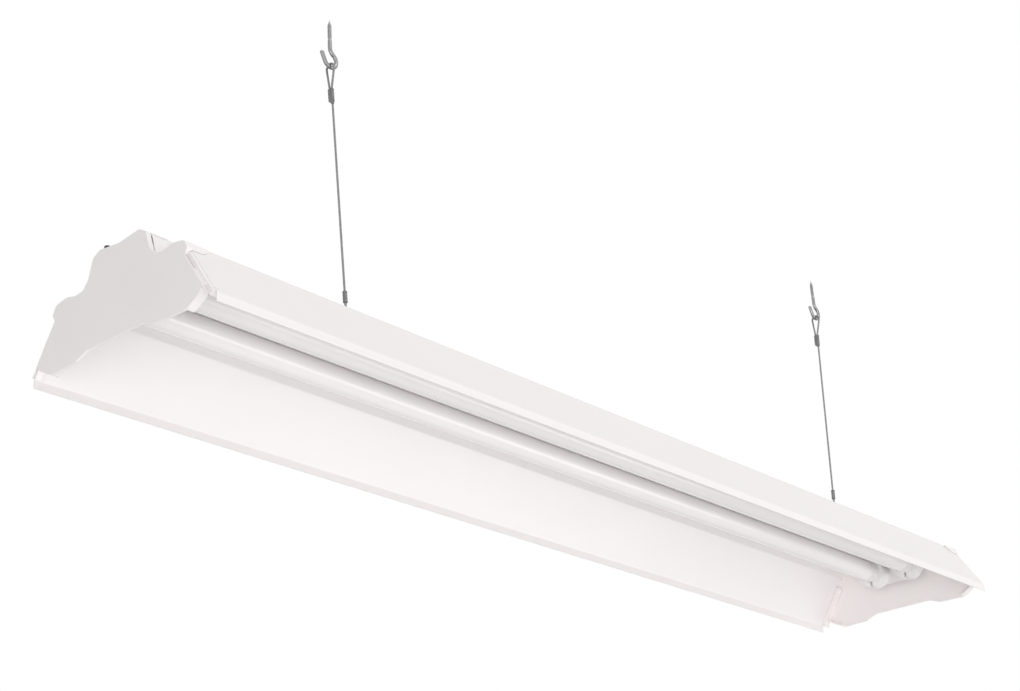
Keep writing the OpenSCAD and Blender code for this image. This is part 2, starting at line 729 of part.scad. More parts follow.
module wireway_cover() {
    color(white_paint) placed() difference() {
        union() {
            translate([-cover_l / 2, -cover_w / 2, cover_z]) cube([cover_l, cover_w, cover_t]);
            for (s = [-1, 1]) translate([-cover_l / 2, s > 0 ? cover_w / 2 - cover_t : -cover_w / 2, cover_z])
                cube([cover_l, cover_t, cover_edge_h]);
        }
        for (s = [-1, 1]) translate([s * strap_x, 0, cover_z]) screw_hole(3);
    }
}

// Each strap is bent from a strip: a foot on the channel's roof, a web and a foot on the cover
module cover_straps() {
    strap_h = roof_z - cover_z - cover_t;
    color(zinc) placed() for (side = [-1, 1]) at_end(side) difference() {
        union() {
            translate([strap_x - strap_foot / 2, -strap_w / 2, cover_z + cover_t])
                cube([strap_foot, strap_w, ear_t]);
            translate([strap_x + strap_foot / 2 - ear_t, -strap_w / 2, cover_z + cover_t])
                cube([ear_t, strap_w, strap_h]);
            translate([strap_x + strap_foot / 2 - ear_t, -strap_w / 2, roof_z - ear_t])
                cube([strap_foot, strap_w, ear_t]);
        }
        translate([strap_x, 0, cover_z + cover_t]) screw_hole(3);
    }
}
module cover_screws() {
    color(zinc) placed() for (s = [-1, 1]) translate([s * strap_x, 0, cover_z]) rotate([180, 0, 0]) pan_screw();
}

// Lamp leads run from the ballast's end along the channel's side and down into the lampholders
lead_y = 30;
lead_z = cover_z + 12;
lead_turn = 12;
// How far below the lamp leads the supply leads lie
supply_drop = 5;
module lamp_leads(side) {
    start_x = (side > 0 ? ballast_x : -ballast_x) + ballast_l / 2;
    drop_x = holder_x + holder_depth / 2;
    color("dodgerblue") placed() at_end(side) for (s = [-1, 1], k = [-1, 1]) {
        y0 = s * (ballast_w / 2 - 9 + k * 1.6);
        y1 = s * (lead_y + k * 1.6);
        y2 = s * (lamp_y + k * 4);
        lead([[start_x, y0, lead_z], [start_x + lead_turn, y0, lead_z], [start_x + 3 * lead_turn, y1, lead_z],
              [start_x + 4 * lead_turn, y1, lead_z], [drop_x - 40, y1, lead_z], [drop_x - 14, y2, lead_z],
              [drop_x - 5, y2, lead_z], [drop_x - 1, y2, lead_z - 2], [drop_x, y2, lead_z - 5],
              [drop_x, y2, holder_top]]);
    }
}
module left_lamp_leads() { lamp_leads(-1); }
module right_lamp_leads() { lamp_leads(1); }

// Supply leads run from the ballast's left end, above the strap's foot, to two wire connectors.
// The ground lead ends under the ground screw.
connector_x = -end_x + connector_inset;
module supply_leads() {
    start_x = ballast_x - ballast_l / 2;
    tail_x = connector_x + connector_l + supply_tail;
    z = lead_z - supply_drop;
    color("black") placed() for (k = [-1, 1])
        lead([[start_x, k * supply_start_y, z], [start_x - lead_turn, k * supply_start_y, z],
              [start_x - 3 * lead_turn, k * supply_y, z], [start_x - 4 * lead_turn, k * supply_y, z],
              [tail_x + supply_run, k * supply_y, z], [tail_x, k * connector_y, z],
              [connector_x + connector_l, k * connector_y, z]]);
}
module wire_connectors() {
    color("orange") placed() for (k = [-1, 1]) translate([connector_x, k * connector_y, lead_z - supply_drop]) rotate([0, 90, 0])
        cylinder(h = connector_l, r1 = connector_r * 0.6, r2 = connector_r);
}
module ground_screw() {
    color("green") placed() translate([ground_x, 0, channel_h]) pan_screw();
}

// Bushing of the cord inlet: its base lies under the channel's roof, and its barrel stands up
// through the housing's notch and the left cap's crest
module cord_bushing() {
    top_z = channel_h + crest_rise + bushing_rise;
    taper_z = channel_h + crest_rise;
    color("black") placed() difference() {
        union() {
            translate([-end_x, inlet_y - bushing_base / 2, roof_z - bushing_base_t])
                cube([bushing_base, bushing_base, bushing_base_t]);
            translate([inlet_x, inlet_y, roof_z - bushing_base_t / 2])
                cylinder(h = taper_z - roof_z + bushing_base_t / 2, r = bushing_r);
            translate([inlet_x, inlet_y, taper_z])
                cylinder(h = top_z - taper_z, r1 = bushing_r, r2 = bushing_tip_r);
        }
        translate([inlet_x, inlet_y, roof_z - bushing_base_t - eps])
            cylinder(h = top_z - roof_z + bushing_base_t + 2 * eps, r = inlet_r);
    }
}

// ---- hangers -------------------------------------------------------------

thread_depth = 0.4;
module screw_hook(side) {
    shank_z = 2 * hook_bend_r * sin(neck_angle) + hook_shank_l;
    color(zinc) ceiling_hook_place(side) translate([0, 0, hook_bend_r]) {
        bent_hook(hook_bend_r, hook_wire_r, 204, hook_tip_l, shank_z);
        translate([0, 0, shank_z]) cylinder(h = thread_l - thread_point_l, r = hook_wire_r);
        translate([0, 0, shank_z + thread_l - thread_point_l])
            cylinder(h = thread_point_l, r1 = hook_wire_r, r2 = thread_depth);
    }
}
module left_screw_hook() { screw_hook(-1); }
module right_screw_hook() { screw_hook(1); }

// The cable rises from its lower ferrule, turns over the hook and comes back into the upper ferrule
cable_pitch = 2 * cable_r + 0.2;
module cable(side) {
    leg_z = top_ferrule_z + top_ferrule_l;
    main_turn = acos(loop_r / loop_h);
    back_l = norm([cable_pitch, loop_h]);
    back_turn = acos(loop_r / back_l);
    main_a = 270 - main_turn;
    back_a = 270 + atan2(cable_pitch, loop_h) + back_turn;
    color("silver") hanger(side) rotate([0, 0, 90]) {
        translate([0, 0, low_ferrule_z + low_ferrule_l / 2 + 0.5])
            cylinder(h = leg_z - low_ferrule_z - low_ferrule_l / 2 - 0.5, r = cable_r);
        translate([cable_pitch, 0, top_ferrule_z + 3]) cylinder(h = top_ferrule_l - 3, r = cable_r);
        leg([0, leg_z], loop_r * [cos(main_a), sin(main_a)] + [0, loop_z]);
        leg([cable_pitch, leg_z], loop_r * [cos(back_a), sin(back_a)] + [0, loop_z]);
        translate([0, 0, loop_z]) rotate([90, 0, 0]) rotate([0, 0, back_a - 360])
            rotate_extrude(angle = main_a - back_a + 360) translate([loop_r, 0]) circle(r = cable_r);
    }
}
// One straight leg of the loop between two points of the XZ plane
module leg(from, to) {
    d = to - from;
    translate([to[0], 0, to[1]]) wire_joint(cable_r);
    translate([from[0], 0, from[1]]) {
        wire_joint(cable_r);
        rotate([0, atan2(d[0], d[1]), 0]) cylinder(h = norm(d), r = cable_r);
    }
}
module left_cable() { cable(-1); }
module right_cable() { cable(1); }

module top_ferrule(side) {
    outer_r = cable_r + ferrule_wall;
    body_l = top_ferrule_l - 4;
    color("dimgray") hanger(side) rotate([0, 0, 90]) translate([0, 0, top_ferrule_z]) difference() {
        union() {
            translate([0, 0, 4]) cylinder(h = body_l, r = outer_r);
            translate([cable_pitch, 0, 4]) cylinder(h = body_l, r = outer_r);
            translate([0, -outer_r, 4]) cube([cable_pitch, 2 * outer_r, body_l]);
            cylinder(h = 4, r1 = cable_r + 0.4, r2 = outer_r);
        }
        translate([0, 0, -eps]) cylinder(h = top_ferrule_l + 2 * eps, r = cable_r + hole_gap / 2);
        translate([cable_pitch, 0, 3]) cylinder(h = top_ferrule_l, r = cable_r + hole_gap / 2);
    }
}
module left_top_ferrule() { top_ferrule(-1); }
module right_top_ferrule() { top_ferrule(1); }

module low_ferrule(side) {
    outer_r = low_wire_r + ferrule_wall;
    half_l = low_ferrule_l / 2;
    color("dimgray") hanger(side) translate([0, 0, low_ferrule_z]) difference() {
        cylinder(h = low_ferrule_l, r = outer_r);
        translate([0, 0, -eps]) cylinder(h = half_l + eps, r = low_wire_r + hole_gap / 2);
        translate([0, 0, half_l]) cylinder(h = half_l + eps, r = cable_r + hole_gap / 2);
    }
}
module left_low_ferrule() { low_ferrule(-1); }
module right_low_ferrule() { low_ferrule(1); }

// The lower hook's bend lies across the fixture and passes under the web between two slots
module low_hook(side) {
    color(zinc) hanger(side) rotate([0, 0, -90])
        bent_hook(low_bend_r, low_wire_r, 190, 4, low_ferrule_z + low_ferrule_l / 2 - 0.5);
}
module left_low_hook() { low_hook(-1); }
module right_low_hook() { low_hook(1); }

reflector_housing();
left_end_cap();
right_end_cap();
left_socket_bracket();
right_socket_bracket();
bracket_screws();
front_left_lampholder();
front_right_lampholder();
rear_left_lampholder();
rear_right_lampholder();
lampholder_contacts();
front_lamp_tube();
rear_lamp_tube();
front_lamp_ends();
rear_lamp_ends();
front_lamp_pins();
rear_lamp_pins();
front_lamp_rotors();
rear_lamp_rotors();
ballast();
ballast_screws();
wireway_cover();
cover_straps();
cover_screws();
left_lamp_leads();
right_lamp_leads();
supply_leads();
wire_connectors();
ground_screw();
cord_bushing();
left_screw_hook();
right_screw_hook();
left_cable();
right_cable();
left_top_ferrule();
right_top_ferrule();
left_low_ferrule();
right_low_ferrule();
left_low_hook();
right_low_hook();
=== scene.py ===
"""Looks of the hanging shop light. Everything is in metres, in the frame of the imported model."""
import math

import bmesh
import bpy
import numpy as np
from mathutils import Matrix, Vector


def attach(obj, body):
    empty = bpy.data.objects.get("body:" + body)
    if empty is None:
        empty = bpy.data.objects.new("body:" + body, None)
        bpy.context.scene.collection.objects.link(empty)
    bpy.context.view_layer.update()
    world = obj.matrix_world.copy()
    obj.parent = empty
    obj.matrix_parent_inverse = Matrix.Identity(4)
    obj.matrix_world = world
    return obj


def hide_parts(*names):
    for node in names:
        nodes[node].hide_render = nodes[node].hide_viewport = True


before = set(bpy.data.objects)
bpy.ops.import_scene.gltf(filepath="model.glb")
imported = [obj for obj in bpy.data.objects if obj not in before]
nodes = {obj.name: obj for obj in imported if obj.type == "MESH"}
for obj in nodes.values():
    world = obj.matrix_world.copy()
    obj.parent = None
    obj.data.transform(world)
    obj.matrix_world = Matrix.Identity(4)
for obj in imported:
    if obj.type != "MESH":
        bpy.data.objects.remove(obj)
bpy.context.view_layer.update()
MM = 0.001

# ---- sizes shared with the solids, in millimetres ------------------------

# Distance between the slots that carry the light, how far each ceiling hook stands outside
# its slot, and the fixture's shift along the lamps from the frame's origin
SLOT_SPAN, HOOK_SPREAD, SLOT_SHIFT = 850.0, 15.5, 63.0
# Bend radius, wire radius and length of the open tip: lower hooks, then ceiling hooks
LOW_R, LOW_WIRE, LOW_TIP = 6.5, 1.4, 4.0
HOOK_R, HOOK_WIRE, HOOK_TIP = 8.2, 2.2, 9.0
# Angle above its middle height at which a hook's bend turns over into its neck
NECK = math.radians(60)
# Straight shank of a ceiling hook below the ceiling, its thread and the thread's point
SHANK_L, THREAD_L, POINT_L = 8.0, 25.0, 7.0
# Gap between hooks and what they carry, and width of the web between two hanging slots
RUN_GAP, WEB_W = 0.3, 8.4
# Cable radius, ferrule wall, and the heights along a hanger from its lower hook upward
CABLE_R, FER_WALL = 1.2, 1.0
LOW_FER_Z, LOW_FER_L, CABLE_FREE, TOP_FER_L = 29.0, 12.0, 201.0, 17.0
LOOP_R, LOOP_H = 5.2, 22.7
TOP_FER_Z = LOW_FER_Z + LOW_FER_L + CABLE_FREE
LOOP_Z = TOP_FER_Z + TOP_FER_L + LOOP_H
HANG = LOOP_Z + LOOP_R - CABLE_R - RUN_GAP - HOOK_WIRE
LEAN = math.asin(HOOK_SPREAD / HANG)
# Underside of the channel's roof, and the heights of the tilt axis, the swing axis and the ceiling
ROOF = 91.1
TILT = ROOF + math.sqrt((LOW_R - LOW_WIRE - RUN_GAP) ** 2 - (WEB_W / 2) ** 2)
SWING = TILT + HANG * math.cos(LEAN)
SHANK = 2 * HOOK_R * math.sin(NECK) + SHANK_L
CEILING = SWING + HOOK_R + SHANK
# Distance between the two legs of the cable inside the upper ferrule
PITCH = 2 * CABLE_R + 0.2


# ---- materials -----------------------------------------------------------

# Noise values between which colours and gloss are spread
NOISE_LOW, NOISE_HIGH = 0.3, 0.7
COAT_ROUGH = 0.12


def noise_of(tree, scale, detail=4.0, stretch=None):
    place = tree.nodes.new("ShaderNodeTexCoord").outputs["Object"]
    noise = tree.nodes.new("ShaderNodeTexNoise")
    noise.inputs["Scale"].default_value = scale
    noise.inputs["Detail"].default_value = detail
    if stretch:
        mapping = tree.nodes.new("ShaderNodeMapping")
        mapping.inputs["Scale"].default_value = stretch
        tree.links.new(place, mapping.inputs["Vector"])
        place = mapping.outputs["Vector"]
    tree.links.new(place, noise.inputs["Vector"])
    return noise.outputs["Fac"]


def ramp_of(tree, fac, low, high):
    node = tree.nodes.new("ShaderNodeValToRGB")
    stops = ((NOISE_LOW, low), (NOISE_HIGH, high))
    for element, (position, color) in zip(node.color_ramp.elements, stops):
        element.position = position
        element.color = (*color, 1)
    tree.links.new(fac, node.inputs["Fac"])
    return node.outputs["Color"]


def range_of(tree, fac, low, high):
    node = tree.nodes.new("ShaderNodeMapRange")
    node.inputs["From Min"].default_value = NOISE_LOW
    node.inputs["From Max"].default_value = NOISE_HIGH
    node.inputs["To Min"].default_value = low
    node.inputs["To Max"].default_value = high
    tree.links.new(fac, node.inputs["Value"])
    return node.outputs["Result"]


def bump_of(tree, fac, strength, distance):
    node = tree.nodes.new("ShaderNodeBump")
    node.inputs["Strength"].default_value = strength
    node.inputs["Distance"].default_value = distance
    tree.links.new(fac, node.inputs["Height"])
    return node.outputs["Normal"]


def shade(color, k):
    return tuple(min(1.0, v * k) for v in color)


def surface(name, color, rough, metal=0.0, vary=0.02, blotch=6.0, rough_vary=0.05, grain=900.0,
            bump=0.05, depth=0.0001, coat=0.0, spec=0.5, stretch=None):
    """A base colour with faint blotches, uneven gloss and a fine bump."""
    mat = bpy.data.materials.new(name)
    mat.use_nodes = True
    tree = mat.node_tree
    shader = tree.nodes["Principled BSDF"]
    blotches = noise_of(tree, blotch, 3.0)
    fine = noise_of(tree, grain, 2.0, stretch)
    base = ramp_of(tree, blotches, shade(color, 1 - vary), shade(color, 1 + vary))
    tree.links.new(base, shader.inputs["Base Color"])
    gloss = range_of(tree, noise_of(tree, blotch * 4), rough - rough_vary, rough + rough_vary)
    tree.links.new(gloss, shader.inputs["Roughness"])
    tree.links.new(bump_of(tree, fine, bump, depth), shader.inputs["Normal"])
    shader.inputs["Metallic"].default_value = metal
    shader.inputs["Coat Weight"].default_value = coat
    shader.inputs["Coat Roughness"].default_value = COAT_ROUGH
    shader.inputs["Specular IOR Level"].default_value = spec
    return mat


# painted steel, moulded plastic and the lamps
enamel = surface("white_enamel", (0.90, 0.863, 0.863), 0.34,
                 vary=0.006, blotch=9, grain=420, bump=0.06, depth=0.0002, coat=0.25)
cap_plastic = surface("cap_plastic", (0.955, 0.912, 0.905), 0.48,
                      vary=0.012, blotch=14, grain=2600, bump=0.16, depth=0.00012, spec=0.4)
holder_plastic = surface("holder_plastic", (0.93, 0.91, 0.90), 0.36,
                         vary=0.01, blotch=40, grain=1800, bump=0.06)
lamp_glass = surface("lamp_glass", (0.975, 0.945, 0.945), 0.16,
                     vary=0.008, blotch=18, rough_vary=0.03, grain=900, bump=0.01, coat=0.4)
lamp_metal = surface("lamp_end_metal", (0.90, 0.885, 0.88), 0.34, metal=0.2,
                     vary=0.03, blotch=90, grain=900, bump=0.12, stretch=(8, 1, 1))
# bare metal
zinc = surface("zinc_sheet", (0.62, 0.63, 0.64), 0.36, metal=1.0,
               vary=0.07, blotch=120, grain=1500, bump=0.08)
screw_metal = surface("screw_steel", (0.66, 0.66, 0.66), 0.33, metal=1.0,
                      vary=0.06, blotch=260, grain=2400, bump=0.1)
wire_metal = surface("zinc_wire", (0.30, 0.30, 0.305), 0.36, metal=1.0,
                     vary=0.10, blotch=220, grain=2200, bump=0.14)
strand_metal = surface("cable_strands", (0.25, 0.25, 0.255), 0.40, metal=1.0,
                       vary=0.12, blotch=420, grain=3000, bump=0.14, depth=0.00006)
dark_metal = surface("dark_ferrule", (0.19, 0.19, 0.195), 0.42, metal=0.85,
                     vary=0.16, blotch=260, grain=1800, bump=0.16)
brass = surface("pin_brass", (0.74, 0.60, 0.30), 0.28, metal=1.0,
                vary=0.06, blotch=300, grain=2600, bump=0.06)
# what lies in the channel
ballast_paint = surface("ballast_enamel", (0.62, 0.63, 0.64), 0.4,
                        vary=0.03, blotch=30, grain=900, bump=0.1, depth=0.0002)
blue_pvc = surface("blue_insulation", (0.05, 0.12, 0.46), 0.42,
                   vary=0.08, blotch=60, grain=1600, bump=0.05)
black_pvc = surface("black_insulation", (0.02, 0.02, 0.022), 0.42,
                    vary=0.2, blotch=60, grain=1600, bump=0.05)
orange_pvc = surface("connector_plastic", (0.80, 0.26, 0.03), 0.34,
                     vary=0.05, blotch=160, grain=1600, bump=0.06)
green_paint = surface("green_steel", (0.04, 0.26, 0.07), 0.36, metal=0.3,
                      vary=0.08, blotch=260, grain=1600, bump=0.08)
black_rubber = surface("bushing_plastic", (0.018, 0.018, 0.018), 0.5,
                       vary=0.2, blotch=200, grain=2400, bump=0.12)


def dress(obj, mat):
    obj.data.materials.clear()
    obj.data.materials.append(mat)


DRESS = {
    enamel: ["reflector_housing", "wireway_cover", "left_socket_bracket", "right_socket_bracket"],
    cap_plastic: ["left_end_cap", "right_end_cap"],
    zinc: ["cover_straps"],
    screw_metal: ["bracket_screws", "ballast_screws", "cover_screws"],
    holder_plastic: ["front_left_lampholder", "front_right_lampholder", "rear_left_lampholder",
                     "rear_right_lampholder", "front_lamp_rotors", "rear_lamp_rotors"],
    brass: ["lampholder_contacts", "front_lamp_pins", "rear_lamp_pins"],
    lamp_glass: ["front_lamp_tube", "rear_lamp_tube"],
    lamp_metal: ["front_lamp_ends", "rear_lamp_ends"],
    ballast_paint: ["ballast"],
    blue_pvc: ["left_lamp_leads", "right_lamp_leads"],
    black_pvc: ["supply_leads"],
    orange_pvc: ["wire_connectors"],
    green_paint: ["ground_screw"],
    black_rubber: ["cord_bushing"],
    wire_metal: ["left_screw_hook", "right_screw_hook", "left_low_hook", "right_low_hook"],
    strand_metal: ["left_cable", "right_cable"],
    dark_metal: ["left_top_ferrule", "right_top_ferrule", "left_low_ferrule", "right_low_ferrule"],
}
for mat, names in DRESS.items():
    for name in names:
        dress(nodes[name], mat)


# ---- mesh helpers --------------------------------------------------------

def mesh_piece(name, shape, mat, body, matrix):
    """A smooth piece from the vertices and faces of shape, in millimetres, that rides a body."""
    verts, faces = shape
    me = bpy.data.meshes.new(name)
    me.from_pydata([matrix @ (Vector(p) * MM) for p in verts], [], faces)
    me.validate()
    bm = bmesh.new()
    bm.from_mesh(me)
    bmesh.ops.recalc_face_normals(bm, faces=bm.faces)
    bm.to_mesh(me)
    bm.free()
    me.polygons.foreach_set("use_smooth", [True] * len(me.polygons))
    o = bpy.data.objects.new(name, me)
    bpy.context.scene.collection.objects.link(o)
    o.data.materials.append(mat)
    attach(o, body)
    return o


def frames_along(path):
    """Points with a pair of cross directions each, turning as little as possible."""
    p = np.array(path, float)
    t = np.gradient(p, axis=0)
    t /= np.linalg.norm(t, axis=1)[:, None]
    a = np.array([1.0, 0, 0]) if abs(t[0][0]) < 0.9 else np.array([0, 1.0, 0])
    u = a - t[0] * a.dot(t[0])
    u /= np.linalg.norm(u)
    us = [u]
    for i in range(1, len(p)):
        u = us[-1] - t[i] * us[-1].dot(t[i])
        us.append(u / np.linalg.norm(u))
    us = np.array(us)
    return p, us, np.cross(t, us)


def around(sides):
    """Angles of the corners of a ring."""
    return [2 * math.pi * k / sides for k in range(sides)]


def loft(rings):
    """Vertices and faces between closed rings of equal length, with both ends closed."""
    n = len(rings[0])
    verts = [q for r in rings for q in r]
    faces = []
    for i in range(len(rings) - 1):
        for k in range(n):
            m = (k + 1) % n
            faces.append((i * n + k, i * n + m, (i + 1) * n + m, (i + 1) * n + k))
    faces.append(tuple(range(n - 1, -1, -1)))
    faces.append(tuple((len(rings) - 1) * n + k for k in range(n)))
    return verts, faces


def tube(path, radii, sides):
    """Round tube along path, with one radius for all its points or one for each."""
    p, u, v = frames_along(path)
    radii = np.broadcast_to(radii, len(p))
    return loft([[p[i] + radii[i] * (math.cos(a) * u[i] + math.sin(a) * v[i])
                  for a in around(sides)] for i in range(len(p))])


def rounded_tip(path, r, sides):
    """A tube along path whose first end is rounded over."""
    steps, last_angle, stretch = 5, 84, 0.75
    p = [np.array(q, float) for q in path]
    d = (p[0] - p[1]) / np.linalg.norm(p[0] - p[1])
    head, radii = [], []
    for k in range(steps, 0, -1):
        a = math.radians(last_angle * k / steps)
        head.append(p[0] + d * r * stretch * math.sin(a))
        radii.append(r * math.cos(a))
    return tube(head + p, np.array(radii + [r] * len(p)), sides)


def merge(parts):
    verts, faces = [], []
    for v, f in parts:
        base = len(verts)
        verts += list(v)
        faces += [tuple(i + base for i in q) for q in f]
    return verts, faces


# ---- hangers -------------------------------------------------------------

def hook_path(bend, tip_angle, tip_l, shank_z):
    """Middle line of a bent hook in the XZ plane, from its open tip to the top of its shank."""
    degrees_per_step, tip_steps, shank_steps = 3.0, 6, 8
    a = math.radians(tip_angle)
    tip = np.array([math.sin(math.pi - a), 0, math.cos(math.pi - a)])
    start = np.array([bend * math.cos(a), 0, bend * math.sin(a)])
    pts = [start + tip * tip_l * k / tip_steps for k in range(tip_steps, 0, -1)]
    end = 2 * math.pi + NECK
    n = int(math.degrees(end - a) / degrees_per_step)
    for k in range(n + 1):
        q = a + (end - a) * k / n
        pts.append(np.array([bend * math.cos(q), 0, bend * math.sin(q)]))
    neck_z = 2 * bend * math.sin(NECK)
    n = int(math.degrees(NECK) / degrees_per_step)
    for k in range(1, n + 1):
        q = math.pi + NECK - NECK * k / n
        pts.append(np.array([bend + bend * math.cos(q), 0, neck_z + bend * math.sin(q)]))
    for k in range(1, shank_steps + 1):
        pts.append(np.array([0, 0, neck_z + (shank_z - neck_z) * k / shank_steps]))
    return pts


def hanger_matrix(side):
    place = Vector((side * SLOT_SPAN / 2, 0, TILT - CEILING)) * MM
    return Matrix.Translation(place) @ Matrix.Rotation(side * LEAN, 4, "Y")


def rope_path():
    """Middle line of the cable: up, round its loop and back into the upper ferrule."""
    # points of each leg beside the loop and of the loop itself
    leg_steps, loop_steps = 22, 30
    # length and steps by which the short end reaches down into the ferrule
    tail_steps, tail_step = 14, 0.98
    leg = TOP_FER_Z + TOP_FER_L
    main = math.radians(270) - math.acos(LOOP_R / LOOP_H)
    back = math.radians(270) + math.atan2(PITCH, LOOP_H)
    back = back + math.acos(LOOP_R / math.hypot(PITCH, LOOP_H)) - 2 * math.pi
    pts = []
    z = LOW_FER_Z + LOW_FER_L / 2 + 0.5
    while z < leg - 2:
        pts.append((0, z))
        z += 1.0
    m = np.array([LOOP_R * math.cos(main), LOOP_Z + LOOP_R * math.sin(main)])
    b = np.array([LOOP_R * math.cos(back), LOOP_Z + LOOP_R * math.sin(back)])
    for k in range(5):
        pts.append((0.0, leg - 2 + k * 0.45))
    for k in range(1, leg_steps):
        pts.append(tuple(np.array([0, leg]) + (m - np.array([0, leg])) * k / leg_steps))
    for k in range(loop_steps + 1):
        q = main + (back - main) * k / loop_steps
        pts.append((LOOP_R * math.cos(q), LOOP_Z + LOOP_R * math.sin(q)))
    for k in range(1, leg_steps):
        pts.append(tuple(b + (np.array([PITCH, leg]) - b) * k / leg_steps))
    for k in range(tail_steps):
        pts.append((PITCH, leg - k * tail_step))
    p = np.array(pts)
    # the corners where the legs meet the straight run are eased
    for _ in range(3):
        q = p.copy()
        q[1:-1] = (p[:-2] + 2 * p[1:-1] + p[2:]) / 4
        p = q
    # the loop lies in the YZ plane, across the ceiling hook's wire
    return [np.array([0.0, y, z]) for y, z in p]


def rope(path):
    """Six strands laid round a core, as one mesh."""
    lay, strands = 8.5, 6
    off, thick, core = CABLE_R * 0.62, CABLE_R * 0.38, CABLE_R * 0.42
    p, u, v = frames_along(path)
    s = np.concatenate([[0], np.cumsum(np.linalg.norm(np.diff(p, axis=0), axis=1))])
    parts = []
    for k in range(strands):
        a = 2 * math.pi * (s / lay + k / strands)
        line = p + off * (np.cos(a)[:, None] * u + np.sin(a)[:, None] * v)
        parts.append(tube(line, thick, 7))
    parts.append(tube(p, core, 6))
    return merge(parts)


def crimp(z, centres, width, depth):
    """Share of a ferrule's radius left at height z by its pressed bands."""
    return 1 - depth * max(0.0, max(1 - ((z - c) / width) ** 2 for c in centres))


def top_ferrule():
    """Pressed sleeve round both legs of the cable, tapered below, with three pressed bands."""
    steps, sides, taper = 68, 40, 4.0
    # height and depth of the rounding of the lower and upper edge
    low_edge, top_edge, edge_depth = 0.5, 0.6, 0.35
    low_r, full_r = CABLE_R + 0.4, CABLE_R + FER_WALL
    rings = []
    for i in range(steps + 1):
        h = TOP_FER_L * i / steps
        k = min(1.0, h / taper)
        k = k * k * (3 - 2 * k)
        half = PITCH / 2 * k
        r = low_r * (1 - k) + full_r * k
        if h < low_edge:
            r -= edge_depth * (1 - h / low_edge)
        if h > TOP_FER_L - top_edge:
            r -= edge_depth * (1 - (TOP_FER_L - h) / top_edge) ** 2
        pinch = crimp(h, (6.0, 9.8, 13.6), 1.15, 0.16)
        ring = []
        for a in around(sides):
            y = r * math.cos(a)
            y = y + (half if y > 0 else -half) + half
            ring.append((r * math.sin(a) * pinch, y, TOP_FER_Z + h))
        rings.append(ring)
    return loft(rings)


def low_ferrule():
    """Pressed sleeve that joins the cable to the lower hook's shank."""
    steps, sides, edge_h, edge_depth = 60, 32, 0.6, 0.4
    rings = []
    for i in range(steps + 1):
        h = LOW_FER_L * i / steps
        r = LOW_WIRE + FER_WALL
        edge = min(h, LOW_FER_L - h)
        if edge < edge_h:
            r -= edge_depth * (1 - edge / edge_h) ** 2
        pinch = crimp(h, (3.0, 6.0, 9.0), 1.1, 0.17)
        ring = []
        for a in around(sides):
            # the pressed bands are slightly six-sided
            six = 1 - (1 - pinch) * (0.65 + 0.35 * math.cos(6 * a))
            ring.append((r * six * math.cos(a), r * six * math.sin(a), LOW_FER_Z + h))
        rings.append(ring)
    return loft(rings)


def thread(z0, length, point):
    """Wood-screw thread on a core that tapers to a point."""
    rows, sides = int(length / 0.14), 36
    pitch, core, crest, thinnest = 2.1, 1.62, 2.28, 0.06
    # heights over which the core narrows and the ridge rises, and half the ridge's share of a turn
    narrowing, ridge_start, ridge_rise, ridge_half = 1.6, 0.8, 2.4, 0.2
    rings = []
    for i in range(rows + 1):
        z = length * i / rows
        taper = 1.0 if z < length - point else max(thinnest, (length - z) / point)
        start = min(1.0, z / narrowing)
        base = HOOK_WIRE * (1 - start) + core * start
        rise = (crest - core) * min(1.0, max(0.0, (z - ridge_start) / ridge_rise))
        ring = []
        for j, a in enumerate(around(sides)):
            turn = (z / pitch - j / sides) % 1.0
            ridge = max(0.0, 1 - abs(turn - 0.5) / ridge_half)
            r = (base + rise * ridge) * taper
            ring.append((r * math.cos(a), r * math.sin(a), z0 + z))
        rings.append(ring)
    return loft(rings)


def low_hook():
    """Lower hook, turned so that it opens across the light."""
    path = hook_path(LOW_R, 190, LOW_TIP, LOW_FER_Z + LOW_FER_L / 2 - 0.5)
    return rounded_tip([np.array([0.0, -q[0], q[2]]) for q in path], LOW_WIRE, 16)


def screw_hook():
    """Ceiling hook with its threaded shank."""
    shaft = rounded_tip(hook_path(HOOK_R, 204, HOOK_TIP, SHANK), HOOK_WIRE, 20)
    return merge([shaft, thread(SHANK, THREAD_L, POINT_L)])


for name, side in (("left", -1), ("right", 1)):
    body = name + "_hanger"
    hang = hanger_matrix(side)
    hook_x = side * (SLOT_SPAN / 2 + HOOK_SPREAD)
    hook_place = Matrix.Translation(Vector((hook_x, 0, SWING + HOOK_R - CEILING)) * MM)
    # new piece, its shape, material, body, slot and place, and the solid that it replaces
    for piece, shape, mat, ridden, slot, matrix, solid in (
            ("_wire_rope", rope(rope_path()), strand_metal, body, "cable_steel", hang, "_cable"),
            ("_top_sleeve", top_ferrule(), dark_metal, body, "dark_ferrule", hang, "_top_ferrule"),
            ("_low_sleeve", low_ferrule(), dark_metal, body, "dark_ferrule", hang, "_low_ferrule"),
            ("_wire_hook", low_hook(), wire_metal, body, "zinc_wire", hang, "_low_hook"),
            ("_ceiling_hook", screw_hook(), wire_metal, "ceiling_hooks", "zinc_wire", hook_place,
             "_screw_hook")):
        o = mesh_piece(name + piece, shape, mat, ridden, matrix)
        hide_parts(name + solid)


# ---- floor and background ------------------------------------------------

def stage_plane(name, size, place, mat):
    bpy.ops.mesh.primitive_plane_add(size=size, location=place)
    o = bpy.context.object
    o.name = name
    dress(o, mat)


floor_mat = surface("floor", (0.92, 0.915, 0.915), 0.6,
                    vary=0.01, blotch=1.5, grain=200, bump=0.02, depth=0.0002)
stage_plane("floor", 24, (0, 0, -4.2), floor_mat)

# The background is white to the camera, in reflections and through glass. Elsewhere it is dimmer.
AMBIENT = 0.435
world = bpy.data.worlds.new("world")
bpy.context.scene.world = world
world.use_nodes = True
sky, sky_links = world.node_tree.nodes, world.node_tree.links
sky.clear()


